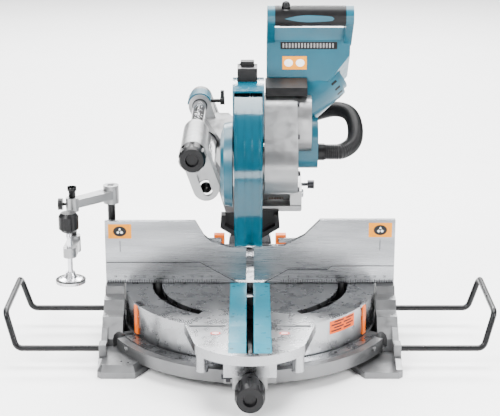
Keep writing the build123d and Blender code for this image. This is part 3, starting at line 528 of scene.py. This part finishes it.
def coil(data):
    """The torsion spring round the pivot, with its first end drawn out."""
    turns, steps, radius, wire = 6, 36, 13.5, 2.2
    centre = PIVOT / MM
    points = [Vector((37, 22, -16)), Vector((37, 14, -8))]
    for step in range(turns * steps + 1):
        angle = 2 * pi * step / steps
        x = 37.5 + 5.6 * step / steps
        points.append(Vector((x, radius * cos(angle), radius * sin(angle))))
    rings = []
    for index, point in enumerate(points):
        ahead = points[min(index + 1, len(points) - 1)]
        behind = points[max(index - 1, 0)]
        along = (ahead - behind).normalized()
        across = along.cross(Vector((1, 0, 0))).normalized()
        up = across.cross(along)
        ring = []
        for corner in range(10):
            angle = 2 * pi * corner / 10
            offset = (across * cos(angle) + up * sin(angle)) * wire
            ring.append(data.verts.new((centre + Vector((point.x, point.y, point.z)) + offset) * MM))
        rings.append(ring)
    for near, far in zip(rings, rings[1:]):
        for corner in range(10):
            after = (corner + 1) % 10
            data.faces.new((near[corner], near[after], far[after], far[corner]))
    data.faces.new(rings[0][::-1])
    data.faces.new(rings[-1])


spring = piece("torsion_spring", coil, "spring_steel", "slider")
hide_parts("chop_spring")

HOSE_D = 32 * MM
HOSE_ROUTE = [
    (148.3, -46.2, 411), (166, -46.2, 411), (184.3, -46.2, 411), (211, -8, 418), (218, 52, 437),
    (210, 106, 455), (182, 142, 456), (146, 162, 442), (108, 174, 424), (70, 176, 406), (32, 164, 393),
    (0, 134.8, 382.6), (0, 86.9, 386.8),
]


def hose_line():
    """The hose's centre line: a smooth curve through its route."""
    curve = bpy.data.curves.new("hose_line", "CURVE")
    curve.dimensions = "3D"
    curve.resolution_u = 24
    spline = curve.splines.new("NURBS")
    spline.points.add(len(HOSE_ROUTE) - 1)
    for point, at in zip(spline.points, HOSE_ROUTE):
        point.co = (*(Vector(at) * MM), 1)
    spline.order_u = 3
    spline.use_endpoint_u = True
    holder = bpy.data.objects.new("hose_line", curve)
    bpy.context.scene.collection.objects.link(holder)
    bpy.context.view_layer.update()
    mesh = bpy.data.meshes.new_from_object(holder.evaluated_get(bpy.context.evaluated_depsgraph_get()))
    points = [vertex.co.copy() for vertex in mesh.vertices]
    bpy.data.objects.remove(holder)
    bpy.data.meshes.remove(mesh)
    return points


def spaced(points, gap):
    """Points at an even gap along a line."""
    out = [points[0]]
    left = gap
    for near, far in zip(points, points[1:]):
        run = (far - near).length
        done = 0.0
        while run - done >= left:
            done += left
            out.append(near.lerp(far, done / run))
            left = gap
        left -= run - done
    out.append(points[-1])
    return out


def hose_skin(data):
    """A corrugated tube: rings 4 mm apart that swell and narrow."""
    points = spaced(hose_line(), 1.0 * MM)
    side = Vector((0, 0, 1))
    rings = []
    for index, point in enumerate(points):
        along = (points[min(index + 1, len(points) - 1)] - points[max(index - 1, 0)]).normalized()
        across = along.cross(side).normalized()
        side = across.cross(along)
        swell = 0.5 - 0.5 * cos(2 * pi * index / 4.0)
        radius = HOSE_D / 2 - 1.7 * MM * (1 - swell)
        ring = []
        for corner in range(28):
            angle = 2 * pi * corner / 28
            ring.append(data.verts.new(point + (across * cos(angle) + side * sin(angle)) * radius))
        rings.append(ring)
    for near, far in zip(rings, rings[1:]):
        for corner in range(28):
            after = (corner + 1) % 28
            data.faces.new((near[corner], near[after], far[after], far[corner]))
    data.faces.new(rings[0][::-1])
    data.faces.new(rings[-1])


hose = piece("dust_hose_skin", hose_skin, "soft_black", "head")
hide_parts("dust_hose")
HOSE_PATH = spaced(hose_line(), 4 * MM)


# ---------------------------------------------------------------- guard and bevel stops


def arc_rib(data, x_low, x_high, r_in, r_out, start, sweep, steps=48):
    """A rib that follows the blade's round, in the head's own frame, in millimetres and degrees."""
    axis_y, axis_z = BLADE_AXIS
    sections = []
    for step in range(steps + 1):
        angle = radians(start + sweep * step / steps)
        section = []
        for x, radius in ((x_low, r_in), (x_high, r_in), (x_high, r_out), (x_low, r_out)):
            at = Vector((x, axis_y + radius * cos(angle), axis_z + radius * sin(angle)))
            section.append(data.verts.new(at * MM))
        sections.append(section)
    for near, far in zip(sections, sections[1:]):
        for corner in range(4):
            after = (corner + 1) % 4
            data.faces.new((near[corner], near[after], far[after], far[corner]))
    data.faces.new(sections[0][::-1])
    data.faces.new(sections[-1])


def guard_ribs(data):
    """Four ribs round the rim of the lower guard."""
    for x in (-26, -11, 3, 17):
        arc_rib(data, x, x + 2.2, 161.3, 162.9, 166, 186)


soften(piece("guard_ribs", guard_ribs, "guard_plastic", "guard", place=HEAD), 0.5)


def stop_blocks(data):
    """Orange caps on the two bevel stops behind the fence."""
    for side in SIDES:
        x_low, x_high = sorted((side * 57, side * 81))
        bar(data, (x_low, 235, 118), (x_high, 253, 142.5))


def stop_screws(data):
    """A socket screw in the front of each cap."""
    for side in SIDES:
        socket_head(data, (side * 69, 235.2, 131), (0, -1, 0), 6, 3)


soften(piece("stop_blocks", stop_blocks, "orange", "turn_base"), 1.6)
piece("stop_screws", stop_screws, "dark_steel", "turn_base")


# ---------------------------------------------------------------- handle and housings


INLAY_X, INLAY_LENGTH, INLAY_R = 66, 96, 20.35


def grip_inlay(data):
    """A teal inlay on the front of the grip, tapering to both ends."""
    low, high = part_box("handle_grip")
    y, z = (low.y + high.y) / 2 / MM, (low.z + high.z) / 2 / MM
    rows = []
    for step in range(25):
        share = step / 24
        x = INLAY_X + INLAY_LENGTH * share
        width = 13 * sin(pi * min(share * 1.8, 1.0) / 2) * (1 - share) ** 0.25
        row = []
        for corner in range(7):
            angle = radians(188 + width * (corner - 3) / 1.6)
            at = Vector((x, y + INLAY_R * cos(angle), z + INLAY_R * sin(angle)))
            row.append(data.verts.new(at * MM))
        rows.append(row)
    for near, far in zip(rows, rows[1:]):
        for corner in range(6):
            data.faces.new((near[corner], near[corner + 1], far[corner + 1], far[corner]))


piece("grip_inlay", grip_inlay, "teal_plastic", "head")


def panel_place(along, out):
    """A point on the handle housing's front panel: mm down from its top edge, and mm out from it."""
    top, foot = Vector((0, -215, 492)), Vector((0, -172.6, 422.7))
    run = (foot - top).normalized()
    normal = Vector((0, run.z, -run.y))
    return top + run * along + normal * out, normal


def panel_bar(data, x_low, x_high, from_mm, to_mm, out):
    """A raised strip on the front panel."""
    corners = []
    for x in (x_low, x_high):
        for along in (from_mm, to_mm):
            for height in (-1.0, out):
                at, normal = panel_place(along, height)
                corners.append(data.verts.new(Vector((x, at.y, at.z)) * MM))
    quads = ((0, 1, 3, 2), (4, 6, 7, 5), (0, 4, 5, 1), (2, 3, 7, 6), (1, 5, 7, 3), (0, 2, 6, 4))
    for quad in quads:
        data.faces.new([corners[index] for index in quad])


def grille_well(data):
    panel_bar(data, 60, 172, 4, 18, 0.7)


def grille_fins(data):
    """A row of short fins in the grille."""
    for step in range(17):
        x = 64 + 6.1 * step
        panel_bar(data, x, x + 3.4, 6.5, 15.5, 2.2)


soften(piece("grille_well", grille_well, "black_plastic", "head", place=HEAD), 0.6)
soften(piece("grille_fins", grille_fins, "silver_paint", "head", place=HEAD), 0.6)


def panel_film(data):
    panel_bar(data, 64, 112, 32, 58, 0.5)


def panel_film_sign(data):
    for x in (76, 99):
        at, normal = panel_place(45, 0.7)
        disc(data, (x, at.y, at.z), tuple(normal), 7.5, 1.15)


soften(piece("panel_film", panel_film, "yellow_film", "head", place=HEAD), 0.2)
piece("panel_film_sign", panel_film_sign, "white_ink", "head", smooth=False, place=HEAD)


def nose_insets(data):
    """Two raised blocks on the nose block's front."""
    for angle, width in ((116, 10), (124, 10)):
        for x in (-15, 1):
            local = Matrix.Rotation(radians(angle), 4, "X") @ Matrix.Translation(Vector((x, 195, 0)) * MM)
            place = Matrix.Translation(Vector((0, -143.7, 255.6)) * MM) @ local
            size = Matrix.Diagonal((9 * MM, 5 * MM, width * MM, 1))
            bmesh.ops.create_cube(data, size=1, matrix=place @ size)


soften(piece("nose_insets", nose_insets, "dark_steel", "head", place=HEAD), 0.8)


def motor_vents(data):
    """Slots round the motor's end cap."""
    turn = Vector((0, 0, 1)).rotation_difference(MOTOR_AXIS).to_matrix().to_4x4()
    centre = Matrix.Translation(MOTOR_AT) @ turn
    for step in range(20):
        spin = Matrix.Rotation(2 * pi * step / 20, 4, "Z")
        local = spin @ Matrix.Translation(Vector((46.4, 0, 163)) * MM)
        size = Matrix.Diagonal((2 * MM, 5 * MM, 13 * MM, 1))
        bmesh.ops.create_cube(data, size=1, matrix=centre @ local @ size)


soften(piece("motor_vents", motor_vents, "black_plastic", "head"), 0.5)


# ---------------------------------------------------------------- vise


def vise_thread(data):
    """The clamp screw's thread."""
    low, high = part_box("vise_spindle")
    x, y = (low.x + high.x) / 2 / MM, (low.y + high.y) / 2 / MM
    profile = [(5, 245.5)]
    for step in range(5):
        height = 246 + 2 * step
        profile.extend([(5.9, height), (5.9, height + 0.5), (5.1, height + 1.1), (5.1, height + 1.6)])
    profile.append((5, 257))
    lathe(data, profile, Matrix.Translation(Vector((x, y, 0)) * MM), 32)


piece("vise_thread", vise_thread, "bright_steel", "vise_screw")


VISE_ROD = (-360, -34)


def rod_sleeve(data):
    """The black finish on the vise's upright rod and on its cap."""
    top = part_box("vise_lower_arm")[1].z / MM
    centre = Matrix.Translation(Vector((*VISE_ROD, 0)) * MM)
    profile = [(7.02, 232.5), (7.04, top - 8.2), (9.1, top - 8.1), (9.3, top - 6), (9.3, top), (0.1, top)]
    lathe(data, profile, centre)


def pad_ring(data):
    """The rubber rim under the clamp pad."""
    low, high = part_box("vise_spindle")
    centre = Matrix.Translation(Vector(((low.x + high.x) / 2, (low.y + high.y) / 2, 0)))
    z = low.z / MM
    lathe(data, [(20, z), (29.9, z), (30, z + 1), (30, z + 6.4), (28.5, z + 7.4), (20, z + 7.6)], centre)


piece("vise_rod_finish", rod_sleeve, "black_steel", "vise_carrier")
piece("vise_pad_ring", pad_ring, "soft_black", "vise_screw")


# ---------------------------------------------------------------- fence seams, drawn as painted shade lines


def ink_line(data, start, end, width):
    """A painted shade line on the fence's face, with its upper edge from start to end, each an x and a z."""
    rows = []
    for y in (-0.22, 0.02):
        ring = (start, end, (end[0], end[1] - width), (start[0], start[1] - width))
        rows.append([data.verts.new(Vector((x, y, z)) * MM) for x, z in ring])
    data.faces.new(rows[0])
    data.faces.new(rows[1][::-1])
    for corner in range(4):
        after = (corner + 1) % 4
        data.faces.new((rows[0][corner], rows[1][corner], rows[1][after], rows[0][after]))


# Upper edges of the painted shade lines in the gaps where the upper fences meet the lower fence.
SEAM_LEFT = ((-299, 161), (-103, 161), (-27, 117))
SEAM_RIGHT = ((299, 153.5), (170, 153.5), (160, 145), (78, 145), (31, 117.5))
SEAM_WIDTH = 1.3


def fence_seams(data):
    """Painted shade: the dark line along the top of the lower fence, where the upper fences begin."""
    for line in (SEAM_LEFT, SEAM_RIGHT):
        for start, end in zip(line, line[1:]):
            ink_line(data, start, end, SEAM_WIDTH)


def fence_foot(data):
    """The shadow line between the lower fence and the table."""
    for side in SIDES:
        x_low, x_high = sorted((side * 32, side * 299))
        bar(data, (x_low, -0.3, 115.15), (x_high, 0.02, 116.3))


# Both pieces are painted shade: the seam lines in the gaps between the fences, the foot line where the lower fence
# meets the table.
piece("fence_seams", fence_seams, "tick_ink_and_painted_shade", "base", smooth=False)
piece("fence_foot_line", fence_foot, "tick_ink_and_painted_shade", "base", smooth=False)


# ---------------------------------------------------------------- stage


def floor(data):
    bmesh.ops.create_grid(data, x_segments=1, y_segments=1, size=30)


def make_floor():
    surface = Surface("studio_floor", (0.9, 0.9, 0.9), 0.6)
    surface.vary_color(surface.noise(3, 3), 0.99, 1.01)
    LOOKS["studio_floor"] = surface.material
    mesh = bpy.data.meshes.new("studio_floor")
    data = bmesh.new()
    floor(data)
    data.to_mesh(mesh)
    data.free()
    obj = bpy.data.objects.new("studio_floor", mesh)
    bpy.context.scene.collection.objects.link(obj)
    obj.data.materials.append(surface.material)


def area_light(name, at, target, size, power):
    light = bpy.data.lights.new(name, "AREA")
    light.shape = "RECTANGLE"
    light.size, light.size_y = size
    light.energy = power
    obj = bpy.data.objects.new(name, light)
    obj.location = at
    obj.rotation_euler = (Vector(target) - Vector(at)).to_track_quat("-Z", "Y").to_euler()
    bpy.context.scene.collection.objects.link(obj)


make_floor()
area_light("key", (-1.7, -1.9, 2.1), (0, 0, 0.25), (1.0, 1.4), 190)
area_light("fill", (2.1, -1.5, 1.5), (0, 0, 0.25), (0.7, 1.5), 120)
area_light("top", (0.1, 0.4, 2.6), (0, 0, 0.2), (2.4, 1.4), 260)
area_light("front", (0, -3.4, 0.5), (0, 0, 0.2), (1.6, 0.5), 40)
area_light("back", (0, 3.5, 2.4), (0, 1.5, 0), (4.0, 1.0), 460)



def studio_world():
    """A pale studio: dim near the horizon and light overhead, so that metal shows both."""
    world = bpy.data.worlds.new("studio")
    world.use_nodes = True
    nodes, links = world.node_tree.nodes, world.node_tree.links
    place = nodes.new("ShaderNodeTexCoord")
    split = nodes.new("ShaderNodeSeparateXYZ")
    ramp = nodes.new("ShaderNodeValToRGB")
    shades = ((0.0, 0.30), (0.08, 0.10), (0.24, 0.16), (0.42, 0.75), (0.62, 0.35), (1.0, 0.8))
    ramp.color_ramp.elements[0].position, ramp.color_ramp.elements[1].position = 0.0, 1.0
    for position, _ in shades[1:-1]:
        ramp.color_ramp.elements.new(position)
    for element, (_, shade) in zip(ramp.color_ramp.elements, shades):
        element.color = (shade, shade, shade * 1.02, 1)
    links.new(place.outputs["Generated"], split.inputs["Vector"])
    links.new(split.outputs["Z"], ramp.inputs["Fac"])
    links.new(ramp.outputs["Color"], nodes["Background"].inputs["Color"])
    nodes["Background"].inputs["Strength"].default_value = 0.8
    bpy.context.scene.world = world


studio_world()

VIEW_TILT = radians(17.34)
camera_data = bpy.data.cameras.new("camera")
camera_data.sensor_width = 36
camera_data.lens = 102.96
camera = bpy.data.objects.new("camera", camera_data)
camera.location = (0, -2.8036, 1.1545)
camera.rotation_euler = (radians(90) - VIEW_TILT, 0, 0)
bpy.context.scene.collection.objects.link(camera)
bpy.context.scene.camera = camera
